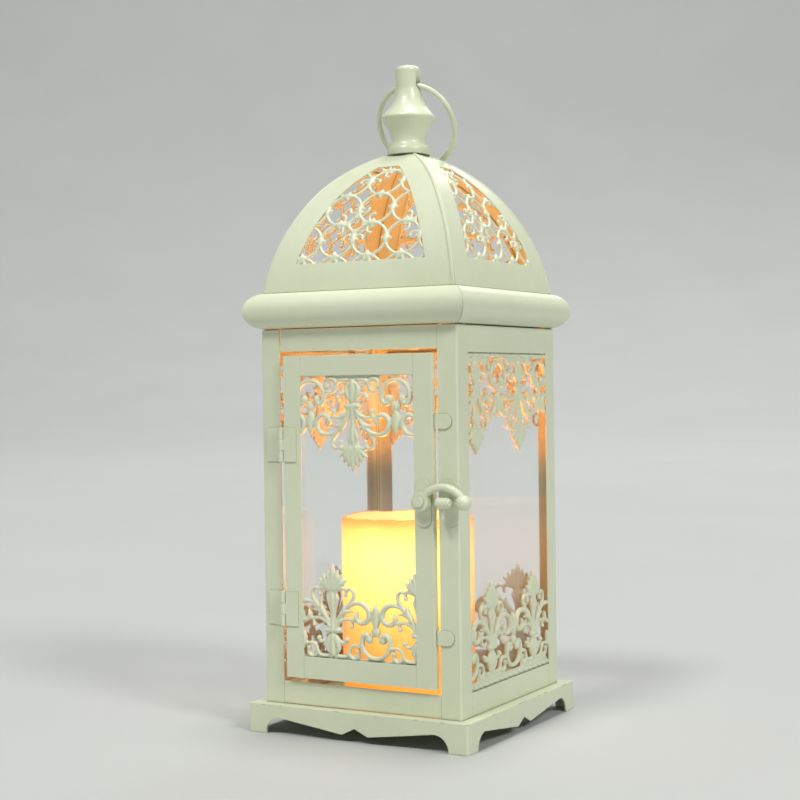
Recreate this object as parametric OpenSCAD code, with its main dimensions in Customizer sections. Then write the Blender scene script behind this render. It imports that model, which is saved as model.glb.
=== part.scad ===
// Square candle lantern with a four-panel domed roof, a hinged glass door and a carry ring.
// Millimetres. Origin: centre of the footprint on the ground. +Z up, the door faces -Y.

/* [Base] */
// Width of the square base plinth
base_w = 136; // [135:0.5:137]
// Height of the base plinth
base_h = 16; // [15.5:0.1:16.5]
// Width of each corner foot at the ground
foot_w = 11.5; // [10:0.5:13]
// Clearance under the skirt beside a foot
skirt_gap_high = 9.2; // [8:0.1:10]
// Clearance under the lowest points of the skirt
skirt_gap_low = 3.9; // [3:0.1:5]

/* [Body] */
// Width of the square body over the posts
body_w = 122; // [121.5:0.1:122.5]
// Height of the top of the body above the ground
body_top = 221.6; // [221.5:0.05:221.7]
// Leg length of the corner angles
post_leg = 12; // [11.9:0.05:12.1]
// Thickness of the body's steel sheet
sheet = 0.8; // [0.7:0.05:0.8]
// Bottom edge of the side and back windows
pane_low = 28.6; // [28:0.1:29]
// Top edge of the side and back windows
pane_high = 207.3; // [207:0.1:208]
// Thickness of the side and back glass
glass_t = 1.6; // [1.4:0.1:1.8]

/* [Door] */
// Left edge of the door
door_x0 = -45.2; // [-45.3:0.05:-45.1]
// Right edge of the door
door_x1 = 47.2; // [47.1:0.05:47.3]
// Bottom edge of the door
door_z0 = 31.4; // [31:0.1:32]
// Top edge of the door
door_z1 = 207; // [206.5:0.1:207.2]
// How far the door stands in front of the posts
door_proud = 2.8; // [2.7:0.05:2.9]
// Depth of the folded edge of the door frame
door_depth = 4; // [3.9:0.05:4.1]
// Width of the door's stiles
stile_w = 11.2; // [11:0.1:11.4]
// Height of the door's top rail
door_rail_top = 11; // [10.5:0.1:11.5]
// Height of the door's bottom rail
door_rail_bottom = 12; // [11.5:0.1:12.5]

/* [Hinges] */
// Height of a hinge
hinge_h = 18.6; // [18:0.1:19]
// Middle height of the upper hinge
hinge_high_z = 158.6; // [158:0.1:159.2]
// Middle height of the lower hinge
hinge_low_z = 68.8; // [68.2:0.1:69.4]
// Outer radius of the hinge knuckles
knuckle_r = 1.95; // [1.9:0.01:1.95]
// Radius of the hinge pins
pin_r = 1; // [0.9:0.05:1]

/* [Latch] */
// Height of the hook's pivot above the ground
latch_z = 129.7; // [129:0.1:131]
// Distance from the hook's pivot to the middle of its ball end
hook_reach = 25.5; // [25:0.1:26]
// Rise of the hook's arch above its pivot, to the middle of the arm
hook_rise = 7.7; // [7.4:0.1:8]
// Radius of the hook's arm
hook_r = 2.1; // [2:0.05:2.2]
// Radius of the hook's ball end
hook_ball_r = 4.1; // [3.9:0.05:4.1]

/* [Openwork] */
// Length of one repeat of the cast openwork
motif_w = 53.3; // [52:0.1:54]
// Thickness of the openwork
openwork_t = 1.1; // [1:0.05:1.2]
// Width of one ring of the dome lattice
lattice_w = 20.7; // [20.3:0.1:21.1]
// Height of one ring of the dome lattice, along the dome's curve
lattice_h = 19.3; // [19:0.1:19.6]

/* [Roof] */
// Outer radius of the rounded roof band
band_r = 10; // [9.9:0.05:10]
// Distance from the middle to the centre of the band's curve
band_w = 58.7; // [58.5:0.05:58.8]
// Radius of the lower curve of the dome
dome_low_r = 120.3; // [120:0.1:120.6]
// Radius of the upper curve of the dome
dome_high_r = 74.3; // [74.2:0.1:74.5]
// Height of the dome's open crown
crown_z = 319.6; // [319.4:0.1:319.8]
// Bottom edge of the dome windows
dome_window_low = 257.4; // [257:0.1:260]
// Top edge of the dome windows
dome_window_high = 311.8; // [309:0.1:312]

/* [Finial and ring] */
// Height of the whole lantern
total_h = 371; // [370.5:0.1:371.5]
// Height of the hole that carries the ring
ring_hole_z = 359.8; // [359.5:0.1:360]
// Radius of the ring, to the middle of its wire
ring_r = 24; // [23.8:0.1:24.2]
// Radius of the ring's wire
ring_wire_r = 1.5; // [1.4:0.05:1.5]
// Angle at which the ring leans back on the dome, from straight down
ring_lean = 24.5; // [24.5:0.1:26]

/* [Candle] */
// Diameter of the candle
candle_d = 76; // [74:0.5:77]
// Height of the candle
candle_h = 101; // [98:0.5:103]
// Left-right position of the candle
candle_x = -3; // [-4:0.5:2]

/* [Hidden] */
$fn = 96;
body_z0 = base_h;
half_w = body_w / 2;
inner_w = half_w - sheet;
half_open = half_w - post_leg;
bend_r = 1.2;

// Front doorway
door_open_z0 = 28.5;
door_open_z1 = 209.5;
front_rail_gap = 0.3;

// Door sheet, its openwork and its glass, measured as distances in front of the middle
door_face = half_w + door_proud;
door_back = door_face - door_depth;
door_sheet = 0.7;
door_glass_t = 1.4;
door_glass_front = door_back + door_glass_t + 0.1;
door_win_x0 = door_x0 + stile_w;
door_win_x1 = door_x1 - stile_w;
door_win_z0 = door_z0 + door_rail_bottom;
door_win_z1 = door_z1 - door_rail_top;

// Distance of the openwork's motifs from the edges of a side window, filled by its border
window_drop_top = 2.9;
window_drop_low = 4.4;

// Left-right place of the openwork's middle motif in each window
right_top_phase = 14.6;
right_low_phase = -22.8;
back_top_phase = -6;
back_low_phase = 18;
left_top_phase = 4;
left_low_phase = -12;
door_top_phase = -1.6;
door_low_phase = -15.7;
door_lap = 8.5;

// Side glass
pane_front = 58.3;
pane_half = 56;
pane_cover = 9.6;

// Hinge: the axis stands in front of the gap beside the door
hinge_z = [hinge_high_z, hinge_low_z];
hinge_x = -47.2;
hinge_y = -half_w - 2.1;
leaf_t = 0.7;
leaf_reach = 10.5;
knuckle_gap = 0.15;
knuckle_mid_h = 6;

// Latch
plate_w = 9.4;
plate_h = 25;
plate_t = 0.8;
latch_x = 41.6;
keeper_x = 55.9;
hook_y = -67;
fork_t = 1;
rivet_r = 1.6;
eye_r = 5;
neck_r = 1.6;
barrel_r = 2.9;
barrel_y = -68.8;
hook_arc_r = (pow(hook_reach / 2, 2) + pow(hook_rise, 2)) / (2 * hook_rise);
hook_arc_a = asin(hook_reach / 2 / hook_arc_r);

// Roof band and dome profile, in a plane square to one side
band_z = 232;
mitre_gap = 0.1;
dome_low_c = [-59.4, 226.7];
dome_join_a = 33.75;
dome_high_c = [dome_low_c[0] + (dome_low_r - dome_high_r) * cos(dome_join_a),
               dome_low_c[1] + (dome_low_r - dome_high_r) * sin(dome_join_a)];
dome_a0 = 4;
dome_a1 = 72;
dome_join_z = dome_low_c[1] + dome_low_r * sin(dome_join_a);
dome_z0 = band_z + band_r;
dome_rib = 16.6;
lattice_lap = 3;
big = 200;

// Place of the dome lattice on each side: x of a ring, and its distance up the dome's curve
front_lattice = [4, 28.7];
right_lattice = [-1.6, 27];
back_lattice = [6.5, 28];
left_lattice = [-7, 27.6];

// Finial, stud and crown plate
crown_plate_z = 316.8;
crown_plate_t = 1;
crown_plate_w = 24.1;
stud_r = 2.45;
stud_hole_r = 2.5;
spigot_r = 6;
finial_z0 = 320.3;
finial_top_r = 7.1;
ring_sagitta = ring_r - sqrt(pow(ring_r, 2) - pow(finial_top_r, 2));
ring_bore_r = 2.15;

// Candle: a wax shell over a battery case
wax_r = candle_d / 2;
case_r = 32;
case_h = 18;
case_wall = 1.6;
case_z = body_z0 + 2;
switch_y = -22;
switch_travel = 4;

cream = [0.88, 0.89, 0.79];
clear = [0.75, 0.82, 0.82, 0.35];
wax = [1, 0.87, 0.5];
steel = [0.7, 0.7, 0.7];

// ---- Shared shapes ----

// Turns a shape built on the front side to side i: 0 front, 1 right, 2 back, 3 left
module on_side(i) {
    rotate([0, 0, 90 * i]) children();
}

// Box given by two opposite corners
module box(low, high) {
    translate(low) cube(high - low);
}

// Square with rounded corners
module rounded_square(w, r) {
    square([w - 2 * r, w], center = true);
    square([w, w - 2 * r], center = true);
    for (x = [-1, 1], y = [-1, 1])
        translate([x * (w / 2 - r), y * (w / 2 - r)]) circle(r);
}

// Outline (x, z) given a thickness along Y, from its front face at y = -front
module front_plate(front, thick) {
    translate([0, thick - front, 0]) rotate([90, 0, 0]) linear_extrude(thick) children();
}

// Profile (distance from the middle, z) run along the front side and mitred at its ends
module mitred_side() {
    intersection() {
        mirror([0, 1, 0]) rotate([90, 0, 90]) linear_extrude(big, center = true) children();
        translate([0, -mitre_gap, 0]) linear_extrude(2 * big)
            polygon([[0, 0], [-big, -big], [big, -big]]);
    }
}

module ellipse_2d(rx, rz) {
    polygon([for (a = [0 : 15 : 345]) [rx * cos(a), rz * sin(a)]]);
}

module ring_2d(r, w) {
    difference() {
        circle(r + w / 2, $fn = 40);
        circle(r - w / 2, $fn = 40);
    }
}

// ---- Base ----

// Opening under one side of the skirt: quarter rounds at the feet, slopes and a middle notch
module skirt_opening_2d() {
    reach = base_w / 2 - foot_w;
    round_r = 8.5;
    half_low = 8;
    notch = 7.7;
    for (s = [-1, 1]) scale([s, 1]) {
        polygon([[0, -1], [0, notch], [half_low, skirt_gap_low],
                 [reach - round_r, skirt_gap_high], [reach - round_r, -1]]);
        intersection() {
            translate([reach - round_r, skirt_gap_high - round_r]) circle(round_r);
            translate([reach - round_r - 1, -1]) square([round_r + 1, skirt_gap_high + 1]);
        }
        translate([reach - round_r - 1, -1])
            square([round_r + 1, skirt_gap_high - round_r + 1]);
    }
}

module base_plinth() color(cream) {
    skirt_t = 1;
    cut_t = 10;
    difference() {
        linear_extrude(base_h) rounded_square(base_w, 1.5);
        translate([0, 0, -1]) linear_extrude(base_h + 1 - skirt_t)
            square(base_w - 2 * skirt_t, center = true);
        for (i = [0 : 3]) on_side(i)
            translate([0, (cut_t - base_w) / 2, 0]) rotate([90, 0, 0])
                linear_extrude(cut_t) skirt_opening_2d();
    }
}

// ---- Body ----

// Corner angle, built for the front right corner
module post() color(cream) {
    translate([0, 0, body_z0]) linear_extrude(body_top - body_z0)
        translate([half_w - post_leg, -half_w])
            difference() {
                union() {
                    square([post_leg - bend_r, post_leg]);
                    translate([0, bend_r]) square([post_leg, post_leg - bend_r]);
                    translate([post_leg - bend_r, bend_r]) circle(bend_r);
                }
                translate([-1, sheet]) square([post_leg + 1 - sheet, post_leg]);
            }
}

// Inward fold along the top edge of a rail, under the roof's flange
module rail_fold() {
    fold_w = 6;
    box([-half_open, -inner_w - sheet / 2, body_top - sheet],
        [half_open, -inner_w + fold_w, body_top]);
}

// The slit at the rail's left end runs through its folded edge
module front_top_rail() color(cream) {
    slit = [0.5, 10, 9];
    difference() {
        union() {
            box([-half_open, -half_w, door_open_z1], [half_open, -inner_w, body_top]);
            rail_fold();
        }
        box([-half_open - 1, -half_w - 1, body_top - slit[2]],
            [-half_open + slit[0], -half_w + slit[1], body_top + 1]);
    }
}

module front_bottom_rail() color(cream) {
    box([-half_open, -half_w, body_z0 + front_rail_gap], [half_open, -inner_w, door_open_z0]);
}

// Rail of a side window, with two tabs folded behind the glass: dir is 1 at the top, -1 below
module window_rail(z_out, z_in, dir) {
    tab_w = 8;
    z_edge = dir > 0 ? body_top - 4 : body_z0 + 1.2;
    box([-half_open, -half_w, min(z_out, z_in)], [half_open, -inner_w, max(z_out, z_in)]);
    for (x = [-30, 30]) {
        box([x - tab_w / 2, -inner_w, z_edge], [x + tab_w / 2, -pane_front + 2.5, z_edge + 0.6]);
        box([x - tab_w / 2, -pane_front + 1.9, min(z_edge, z_edge - dir * 6)],
            [x + tab_w / 2, -pane_front + 2.5, max(z_edge + 0.6, z_edge - dir * 6)]);
    }
}

module window_top_rail() color(cream) {
    window_rail(body_top, pane_high, 1);
    rail_fold();
}

module window_bottom_rail() color(cream) {
    window_rail(body_z0, pane_low, -1);
}

module window_glass() color(clear) {
    box([-pane_half, -pane_front, body_z0 + 2], [pane_half, -pane_front + glass_t, body_top - 4.4]);
}

// ---- Cast openwork ----

// Fan-shaped leaf that hangs from its middle, with pointed lobes
module palmette_2d() {
    polygon([for (a = [-160 : 8 : 160])
        let (lobe = 1 - 0.16 * abs(sin(a * 3.5)), r = (5.4 + 2.8 * cos(a)) * lobe)
        [r * sin(a), -r * cos(a)]]);
}

// One repeat of the openwork, hanging from z = 0, with its palmette at x = 0
module motif_2d() {
    half = motif_w / 2;
    translate([0, -9.5]) ellipse_2d(4.6, 7);
    translate([0, -28.5]) ellipse_2d(3.4, 13.4);
    translate([0, -43.6]) palmette_2d();
    for (s = [-1, 1]) {
        translate([s * 2.6, -16.7]) circle(2.4, $fn = 24);
        translate([s * 7, -26]) rotate(s * 30) ellipse_2d(2.8, 8.5);
        translate([s * 17, -26]) ring_2d(6.3, 2.4);
        translate([s * 8.6, -35.4]) ring_2d(3.8, 2);
        translate([s * 13.2, -5.2]) ring_2d(3.8, 2);
        translate([s * half, -8.4]) ring_2d(8.2, 2.4);
        translate([s * half, -17.2]) circle(2.4, $fn = 24);
        translate([s * half, -25.5]) ellipse_2d(2.6, 7.2);
    }
}

// Openwork between x0 and x1 that hangs from z = 0 behind a rail, with a motif at x = phase.
// Its border laps up behind the rail, and down to the motifs at z = -drop.
module openwork_2d(x0, x1, phase, lap, drop) {
    border = 1.8;
    end_w = 1.4;
    end_h = 52 + drop;
    depth = 60;
    translate([x0, -drop - border]) square([x1 - x0, lap + drop + border]);
    for (x = [x0, x1 - end_w]) translate([x, -end_h]) square([end_w, end_h]);
    intersection() {
        translate([x0, -depth]) square([x1 - x0, depth]);
        for (k = [-2 : 2]) translate([phase + k * motif_w, -drop]) motif_2d();
    }
}

module window_top_filigree(phase) color(cream) {
    translate([0, 0, pane_high]) front_plate(inner_w, openwork_t)
        openwork_2d(-half_open - 1.5, half_open + 1.5, phase, pane_cover, window_drop_top);
}

module window_bottom_filigree(phase) color(cream) {
    translate([0, 0, pane_low]) mirror([0, 0, 1]) front_plate(inner_w, openwork_t)
        openwork_2d(-half_open - 1.5, half_open + 1.5, phase, pane_cover, window_drop_low);
}

// ---- Roof ----

// Rounded front with a flange over the body and a narrower one under the dome
module roof_band() color(cream) {
    low_flange_w = 50;
    high_flange_w = 54;
    mitred_side() {
        difference() {
            translate([band_w, band_z]) circle(band_r);
            translate([band_w, band_z]) circle(band_r - sheet);
            translate([band_w - 2 * band_r, band_z - band_r]) square([2 * band_r, 2 * band_r]);
        }
        translate([low_flange_w, band_z - band_r]) square([band_w - low_flange_w, sheet]);
        translate([high_flange_w, band_z + band_r - sheet])
            square([band_w - high_flange_w, sheet]);
    }
}

// Distance of the dome's surface from the middle at height z
function dome_w(z) = z < dome_join_z
    ? dome_low_c[0] + sqrt(pow(dome_low_r, 2) - pow(z - dome_low_c[1], 2))
    : dome_high_c[0] + sqrt(pow(dome_high_r, 2) - pow(z - dome_high_c[1], 2));

// Points of the dome's curve at a depth below its surface: two arcs that meet on one ray
function dome_curve(depth, steps) = concat(
    [for (i = [0 : steps - 1]) let (a = dome_a0 + (dome_join_a - dome_a0) * i / steps)
        dome_low_c + (dome_low_r - depth) * [cos(a), sin(a)]],
    [for (i = [0 : steps]) let (a = dome_join_a + (dome_a1 - dome_join_a) * i / steps)
        dome_high_c + (dome_high_r - depth) * [cos(a), sin(a)]]);

// Sheet of the front dome panel between two depths, from z0 to z1
module dome_sheet(outer, inner, z0, z1, steps) {
    inside = dome_curve(inner, steps);
    last = len(inside) - 1;
    intersection() {
        mitred_side() polygon(concat(dome_curve(outer, steps),
                                     [for (i = [last : -1 : 0]) inside[i]]));
        translate([-big / 2, -big, z0]) cube([big, 2 * big, z1 - z0]);
    }
}

// Window of a dome panel seen square on: its sides run beside the ridges
module dome_window_2d(grow) {
    steps = 16;
    z0 = dome_window_low - grow;
    z1 = dome_window_high + grow;
    side = [for (i = [0 : steps]) let (z = z0 + (z1 - z0) * i / steps)
        [max(dome_w(z) - dome_rib + grow, 1), z]];
    polygon(concat(side, [for (i = [steps : -1 : 0]) [-side[i][0], side[i][1]]]));
}

module dome_panel() color(cream) {
    difference() {
        dome_sheet(0, sheet, dome_z0, crown_z, 22);
        rotate([90, 0, 0]) linear_extrude(big) dome_window_2d(0);
    }
}

// Height of the dome's surface at distance s up its curve from the band
function dome_z(s) =
    let (a0 = asin((dome_z0 - dome_low_c[1]) / dome_low_r),
         join_s = dome_low_r * (dome_join_a - a0) * PI / 180)
    s < join_s
        ? dome_low_c[1] + dome_low_r * sin(a0 + s / dome_low_r * 180 / PI)
        : dome_high_c[1] + dome_high_r * sin(dome_join_a + (s - join_s) / dome_high_r * 180 / PI);

// Upright oval ring centred on x, from z0 to z1
module oval_ring_2d(x, z0, z1, rx, w) {
    rz = (z1 - z0) / 2;
    translate([x, (z0 + z1) / 2]) difference() {
        ellipse_2d(rx + w / 2, rz + w / 2);
        ellipse_2d(rx - w / 2, rz - w / 2);
    }
}

// Rings that touch in a square pattern, small rings in every other gap, and a lapped border
module dome_lattice_2d(place) {
    strand = 1.8;
    small_r = 4.3;
    difference() {
        dome_window_2d(lattice_lap);
        dome_window_2d(-0.6);
    }
    intersection() {
        dome_window_2d(lattice_lap / 2);
        for (row = [-1 : 3], k = [-3 : 3])
            let (x = place[0] + k * lattice_w, s = place[1] + row * lattice_h,
                 gap_s = s + lattice_h / 2) {
                oval_ring_2d(x, dome_z(s - lattice_h / 2), dome_z(gap_s), lattice_w / 2, strand);
                if (row % 2 == 0 && k % 2 == 0)
                    oval_ring_2d(x - lattice_w / 2, dome_z(gap_s - small_r),
                                 dome_z(gap_s + small_r), small_r, strand);
            }
    }
}

module dome_lattice(place) color(cream) {
    intersection() {
        dome_sheet(sheet + 0.03, sheet + openwork_t, dome_z0 + 5, crown_z - 4, 5);
        rotate([90, 0, 0]) linear_extrude(big) dome_lattice_2d(place);
    }
}

// Folded straps that join the posts to the flange under the roof band
module roof_brackets() color(cream) {
    strap_y = [52, 59];
    strap_low = body_top - 14;
    fold_x = 51;
    top = band_z - band_r;
    for (sx = [-1, 1], sy = [-1, 1]) scale([sx, sy, 1]) {
        box([inner_w - sheet, strap_y[0], strap_low], [inner_w, strap_y[1], top]);
        box([fold_x, strap_y[0], top - sheet], [inner_w, strap_y[1], top]);
    }
}

module crown_plate() color(cream) {
    difference() {
        translate([0, 0, crown_plate_z]) linear_extrude(crown_plate_t)
            square(crown_plate_w, center = true);
        translate([0, 0, crown_plate_z - 1]) cylinder(r = stud_hole_r, h = crown_plate_t + 2);
    }
}

// ---- Finial and ring ----

// Turned profile, from the spigot up to the ridge, the neck and the rounded cap
module finial() color(cream) {
    spigot_z = crown_plate_z + crown_plate_t;
    cap_r = 3;
    bore_l = 20;
    difference() {
        rotate_extrude() union() {
            polygon([[0, spigot_z], [spigot_r, spigot_z], [spigot_r, finial_z0], [12, finial_z0],
                     [12.3, 320.8], [12.3, 323.2], [11.6, 324.8], [10.4, 326.3], [9.8, 328.2],
                     [9.9, 330.6], [10.8, 333.4], [12.5, 336.8], [14.9, 340.3], [15.5, 341.1],
                     [15.3, 342], [13.4, 344.4], [11.3, 346.9], [9.5, 349.9], [8.1, 353.6],
                     [7.2, 357.6], [finial_top_r, 359.2], [finial_top_r, total_h - cap_r],
                     [0, total_h - cap_r]]);
            translate([0, total_h - cap_r]) intersection() {
                union() {
                    square([finial_top_r - cap_r, cap_r]);
                    translate([finial_top_r - cap_r, 0]) circle(cap_r);
                }
                translate([0, -0.5]) square([finial_top_r + 1, cap_r + 1]);
            }
        }
        translate([0, 0, spigot_z - 1]) cylinder(r = stud_hole_r, h = bore_l);
        translate([0, 0, ring_hole_z]) rotate([0, 90, 0])
            cylinder(r = ring_bore_r, h = bore_l, center = true);
    }
}

module finial_stud() color(steel) {
    stud_z = [307, 336];
    translate([0, 0, stud_z[0]]) cylinder(r = stud_r, h = stud_z[1] - stud_z[0]);
}

module finial_nut() color(steel) {
    nut_h = 4;
    translate([0, 0, crown_plate_z - nut_h]) difference() {
        cylinder(r = 4.6, h = nut_h, $fn = 6);
        translate([0, 0, -1]) cylinder(r = stud_hole_r, h = nut_h + 2);
    }
}

// The ring's wire bends inside the hole, so the hole's axis lies halfway down that bend
module carry_ring() color(cream) {
    translate([0, 0, ring_hole_z]) rotate([ring_lean, 0, 0])
        translate([0, 0, ring_sagitta / 2 - ring_r]) rotate([90, 0, 0])
            rotate_extrude() translate([ring_r, 0]) circle(ring_wire_r);
}

// ---- Hinges ----

// Height span of the middle knuckle, which belongs to the door
function knuckle_span(z) = [z - knuckle_mid_h / 2, z + knuckle_mid_h / 2];

module hinge_bore(z) {
    translate([hinge_x, hinge_y, z - hinge_h]) cylinder(r = pin_r + 0.05, h = 2 * hinge_h);
}

module hinge_post_leaves() color(cream) {
    leaf_x0 = hinge_x - leaf_reach;
    for (z = hinge_z) difference() {
        union() {
            box([leaf_x0, -half_w - leaf_t, z - hinge_h / 2],
                [hinge_x - knuckle_r - 0.2, -half_w, z + hinge_h / 2]);
            for (span = [[z - hinge_h / 2, z - knuckle_mid_h / 2 - knuckle_gap],
                         [z + knuckle_mid_h / 2 + knuckle_gap, z + hinge_h / 2]]) {
                translate([hinge_x, hinge_y, span[0]])
                    cylinder(r = knuckle_r, h = span[1] - span[0]);
                box([hinge_x - knuckle_r - 1, -half_w - leaf_t, span[0]],
                    [hinge_x - 0.6, -half_w - leaf_t + 0.4, span[1]]);
            }
        }
        hinge_bore(z);
    }
}

module hinge_door_leaves() color(cream) {
    for (z = hinge_z) difference() {
        union() {
            box([hinge_x + knuckle_r + 0.25, -door_face - leaf_t, z - hinge_h / 2],
                [hinge_x + leaf_reach - 0.4, -door_face, z + hinge_h / 2]);
            translate([hinge_x, hinge_y, knuckle_span(z)[0]])
                cylinder(r = knuckle_r, h = knuckle_mid_h);
            box([hinge_x + 0.6, -door_face - leaf_t, knuckle_span(z)[0]],
                [hinge_x + knuckle_r + 1, -door_face, knuckle_span(z)[1]]);
        }
        hinge_bore(z);
    }
}

module hinge_pins() color(cream) {
    for (z = hinge_z)
        translate([hinge_x, hinge_y, z - hinge_h / 2 - 0.3])
            cylinder(r = pin_r, h = hinge_h + 0.6);
}

// ---- Door ----

// Stile between x0 and x1 with folded edges on its outer side and both ends
module stile(x0, x1, outer) {
    difference() {
        box([x0, -door_face, door_z0], [x1, -door_back, door_z1]);
        box([x0 + (outer < 0 ? door_sheet : -1), -door_face + door_sheet, door_z0 + door_sheet],
            [x1 - (outer > 0 ? door_sheet : -1), -door_back + 1, door_z1 - door_sheet]);
    }
}

// Tab folded behind the door glass from a stile's edge at x
module door_glass_tabs(x, dir) {
    for (z = [60, 179])
        box([min(x, x + dir * 5.5), -door_back, z - 4], [max(x, x + dir * 5.5), -door_back + 0.6, z + 4]);
}

module door_stile_left() color(cream) {
    stile(door_x0, door_win_x0, -1);
    door_glass_tabs(door_x0, 1);
}

module door_stile_right() color(cream) {
    stile(door_win_x1, door_x1, 1);
    door_glass_tabs(door_x1, -1);
}

module door_top_rail() color(cream) {
    difference() {
        box([door_win_x0, -door_face, door_win_z1], [door_win_x1, -door_back, door_z1]);
        box([door_win_x0 - 1, -door_face + door_sheet, door_win_z1 - 1],
            [door_win_x1 + 1, -door_back + 1, door_z1 - door_sheet]);
    }
}

module door_bottom_rail() color(cream) {
    difference() {
        box([door_win_x0, -door_face, door_z0], [door_win_x1, -door_back, door_win_z0]);
        box([door_win_x0 - 1, -door_face + door_sheet, door_z0 + door_sheet],
            [door_win_x1 + 1, -door_back + 1, door_win_z0 + 1]);
    }
}

module door_glass() color(clear) {
    edge = door_sheet + 0.2;
    box([door_x0 + edge, -door_glass_front, door_z0 + edge],
        [door_x1 - edge, -door_glass_front + door_glass_t, door_z1 - edge]);
}

module door_top_filigree() color(cream) {
    translate([0, 0, door_win_z1]) front_plate(door_face - door_sheet, openwork_t)
        openwork_2d(door_x0 + 1, door_x1 - 1, door_top_phase, door_lap, 0);
}

module door_bottom_filigree() color(cream) {
    translate([0, 0, door_win_z0]) mirror([0, 0, 1])
        front_plate(door_face - door_sheet, openwork_t)
            openwork_2d(door_x0 + 1, door_x1 - 1, door_low_phase, door_lap, 0);
}

// Round-ended tabs on the door's edge that close against the post
module door_stop_tabs() color(cream) {
    tab_h = 7.8;
    tab_end = 57.3;
    for (z = [171.3, 58.4])
        translate([0, 0, z]) front_plate(half_w + 0.1 + sheet, sheet) {
            translate([door_x1, -tab_h / 2]) square([tab_end - tab_h / 2 - door_x1, tab_h]);
            translate([tab_end - tab_h / 2, 0]) circle(tab_h / 2);
        }
}

// ---- Latch ----

// Upright plate with round ends, centred on x at the latch's height
module latch_oval(x, front) {
    translate([x, 0, latch_z - 0.9]) front_plate(front, plate_t) {
        square([plate_w, plate_h - plate_w], center = true);
        for (s = [-1, 1]) translate([0, s * (plate_h - plate_w) / 2]) circle(plate_w / 2);
    }
}

// Round bar along Y, from y0 forward by length
module bar_y(x, y0, z, r, length) {
    translate([x, y0, z]) rotate([90, 0, 0]) cylinder(r = r, h = length);
}

// Plate on the door with the headed rivet that the hook turns on
module latch_plate() color(cream) {
    head_y = hook_y - hook_r - 0.15;
    latch_oval(latch_x, door_face + plate_t);
    bar_y(latch_x, -door_face - plate_t / 2, latch_z, rivet_r, -head_y - door_face);
    bar_y(latch_x, head_y, latch_z, 2.8, 1.2);
}

// Plate on the post with a neck and a barrel-shaped head
module latch_keeper() color(cream) {
    barrel_l = 8.1;
    latch_oval(keeper_x, half_w + plate_t);
    bar_y(keeper_x, -half_w - plate_t / 2, latch_z, neck_r, -barrel_y - half_w - plate_t / 2);
    translate([keeper_x, barrel_y, latch_z - 0.3]) rotate([0, 90, 0]) {
        cylinder(r = barrel_r, h = barrel_l - 2, center = true);
        cylinder(r = barrel_r - 0.7, h = barrel_l, center = true);
    }
    translate([keeper_x - 1, barrel_y + 1.2, latch_z - 8.4]) cylinder(r = 1.1, h = 7);
}

// Outline (x, z) of the fork: it hangs inside the arch and straddles the neck
module hook_fork_2d(mid_x, arc_z) {
    fork_half = 4.5;
    slot_half = neck_r + 0.5;
    cut = 10;
    difference() {
        intersection() {
            translate([mid_x, arc_z]) circle(hook_arc_r);
            translate([keeper_x - fork_half, latch_z - 4.5]) square([2 * fork_half, 20]);
        }
        translate([keeper_x - slot_half, latch_z - cut]) square([2 * slot_half, cut]);
        translate([keeper_x, latch_z]) circle(slot_half);
        translate([keeper_x - cut, latch_z - 2.5 - cut]) square(cut);
    }
}

// Eye, arched arm, ball end, and a fork that drops over the keeper's neck
module latch_hook() color(cream) {
    mid_x = latch_x + hook_reach / 2;
    arc_z = latch_z + hook_rise - hook_arc_r;
    back_y = -door_face - plate_t - 0.1;
    difference() {
        union() {
            bar_y(latch_x, back_y, latch_z, eye_r, back_y - hook_y + hook_r);
            translate([mid_x, hook_y, arc_z]) rotate([90, hook_arc_a - 90, 0])
                rotate_extrude(angle = 2 * hook_arc_a) translate([hook_arc_r, 0]) circle(hook_r);
            translate([latch_x + hook_reach, back_y + 0.7 - hook_ball_r, latch_z])
                sphere(hook_ball_r);
            front_plate(-back_y + fork_t, fork_t) hook_fork_2d(mid_x, arc_z);
        }
        bar_y(latch_x, 0, latch_z, rivet_r + 0.06, big);
    }
}

// ---- Candle ----

// Turned wax shell: melted dish on top, room for the battery case and the lamp below
module candle_wax() color(wax) {
    room_r = case_r + 0.3;
    room_h = case_z - body_z0 + case_h + 0.3;
    translate([candle_x, 0, body_z0]) rotate_extrude()
        polygon([[room_r, 0], [wax_r - 0.8, 0], [wax_r, 0.8], [wax_r, candle_h - 1.8],
                 [wax_r - 0.5, candle_h - 0.5], [wax_r - 1.6, candle_h],
                 [wax_r - 2.6, candle_h - 0.8], [wax_r - 3.6, candle_h - 3.4],
                 [wax_r - 6.5, candle_h - 5.6], [wax_r - 14, candle_h - 6.6],
                 [0, candle_h - 7.2], [0, 44], [5, 42], [8, 36], [8, room_h], [room_r, room_h]]);
}

module candle_led() color("white") {
    led_r = 2.5;
    translate([candle_x, 0, case_z + case_h]) {
        cylinder(r = led_r + 0.4, h = 1);
        cylinder(r = led_r, h = 6.5);
        translate([0, 0, 6.5]) sphere(led_r);
    }
}

// Cover opening in the case's floor, as low and high corners in plan, grown by a margin
module battery_opening_2d(grow) {
    corner = [-23, -12];
    size = [46, 34];
    translate(corner - [grow, grow]) square(size + 2 * [grow, grow]);
}

module candle_case() color("whitesmoke") {
    knob_half = 1.8;
    translate([candle_x, 0, case_z]) difference() {
        cylinder(r = case_r, h = case_h);
        translate([0, 0, case_wall]) cylinder(r = case_r - case_wall, h = case_h - 2 * case_wall);
        translate([0, 0, -1]) linear_extrude(case_wall + 2) battery_opening_2d(0);
        translate([-switch_travel / 2 - knob_half - 0.3, switch_y - knob_half - 0.2, -1])
            cube([switch_travel + 2 * knob_half + 0.6, 2 * knob_half + 0.4, case_wall + 2]);
    }
}

module candle_battery_door() color("whitesmoke") {
    translate([candle_x, 0, case_z]) linear_extrude(case_wall) battery_opening_2d(-0.2);
}

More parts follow.
